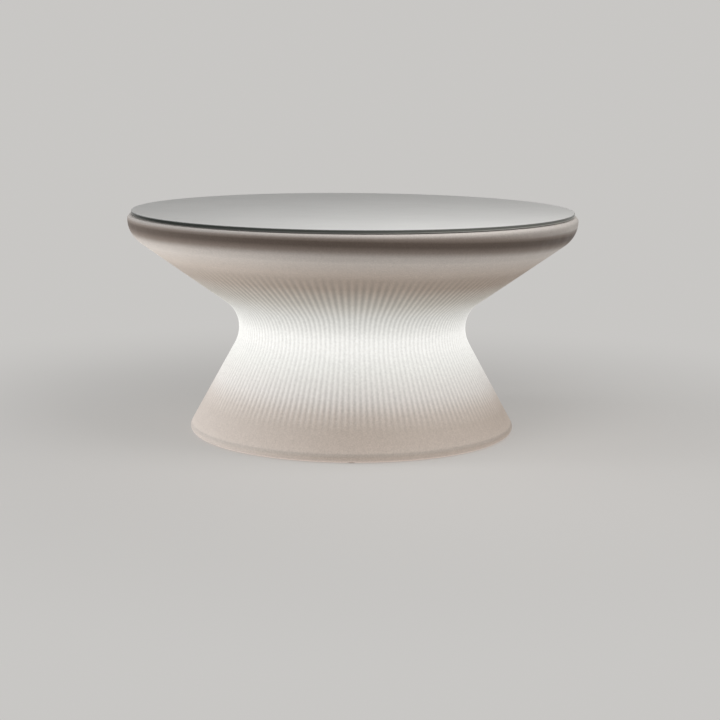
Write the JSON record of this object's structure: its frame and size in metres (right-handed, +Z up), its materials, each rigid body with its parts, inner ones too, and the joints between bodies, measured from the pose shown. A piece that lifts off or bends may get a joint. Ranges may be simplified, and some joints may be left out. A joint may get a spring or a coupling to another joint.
{
  "type": "illuminated coffee table",
  "caption": "Low round coffee table with a fluted, lit hourglass body and a loose satin glass top.",
  "frame": {"origin": "on the floor, on the table's axis", "axes": "+Z up, -Y the front as pictured, +X the table's right as the viewer sees it"},
  "size_m": [0.8546, 0.8546, 0.4263],
  "materials": {
    "moulding": "translucent, fine orange peel, lit from inside",
    "satin_glass": "satin face, ground edge",
    "clear_silicone": "clear, smooth",
    "black_rubber": "matte",
    "grey_plastic": "matte",
    "aluminium": "satin",
    "steel": "bright",
    "brass": "turned",
    "white_plastic": "smooth",
    "black_plastic": "fine texture",
    "cell_sleeve": "shrink sleeve",
    "circuit_board": "solder mask",
    "led_board": "white solder mask",
    "opal_diffuser": "opal",
    "lens": "dark red, clear",
    "lead_insulation": "smooth"
  },
  "bodies": {
    "table": {"battery_cell_1": "cell_sleeve", "battery_cell_2": "cell_sleeve", "battery_cell_3": "cell_sleeve", "battery_cell_4": "cell_sleeve", "battery_holder": "black_plastic", "battery_lead": "lead_insulation", "battery_lid": "black_plastic", "bezel_nut": "steel", "body_shell": "moulding", "button_bezel": "steel", "cap_anchor": "black_rubber", "charging_socket": "steel", "control_board": "circuit_board", "diffuser": "opal_diffuser", "diffuser_collar": "white_plastic", "diffuser_seal": "black_rubber", "foot_glide_1": "black_rubber", "foot_glide_2": "black_rubber", "foot_glide_3": "black_rubber", "foot_glide_4": "black_rubber", "foot_glide_5": "black_rubber", "foot_glide_6": "black_rubber", "glass_pad_1": "clear_silicone", "glass_pad_2": "clear_silicone", "glass_pad_3": "clear_silicone", "glass_pad_4": "clear_silicone", "glass_pad_5": "clear_silicone", "glass_pad_6": "clear_silicone", "housing_screw_1": "steel", "housing_screw_2": "steel", "housing_screw_3": "steel", "lamp_lead": "lead_insulation", "lamp_post": "aluminium", "led_strip_1": "led_board", "led_strip_2": "led_board", "led_strip_3": "led_board", "plate_gasket": "black_rubber", "plate_screw_1": "steel", "plate_screw_2": "steel", "plate_screw_3": "steel", "plate_screw_4": "steel", "post_board": "circuit_board", "service_plate": "aluminium", "signal_window": "lens", "socket_lead": "lead_insulation", "socket_nut": "steel", "switch_body": "black_plastic", "switch_lead": "lead_insulation", "thread_insert_1": "brass", "thread_insert_2": "brass", "thread_insert_3": "brass", "thread_insert_4": "brass", "unit_housing": "white_plastic", "vent_plug": "grey_plastic"},
    "glass": {"glass_top": "satin_glass"},
    "button": {"push_button": "black_plastic"},
    "cap": {"socket_cap": "black_rubber"}
  },
  "joints": [
    {"name": "glass_lift", "type": "slide", "parent": "table", "child": "glass", "axis": [0, 0, 1], "range_m": [0, 0.3]},
    {"name": "button_press", "type": "slide", "parent": "table", "child": "button", "axis": [0, 0, 1], "range_m": [0, 0.0015], "stiffness_N_per_m": 300, "springref_m": -0.0015},
    {"name": "cap_hinge", "type": "hinge", "parent": "table", "child": "cap", "pos_m": [-0.04509, -0.10623, 0.0218], "axis": [-0.9205, 0.3907, 0], "range_deg": [0, 100]}
  ]
}
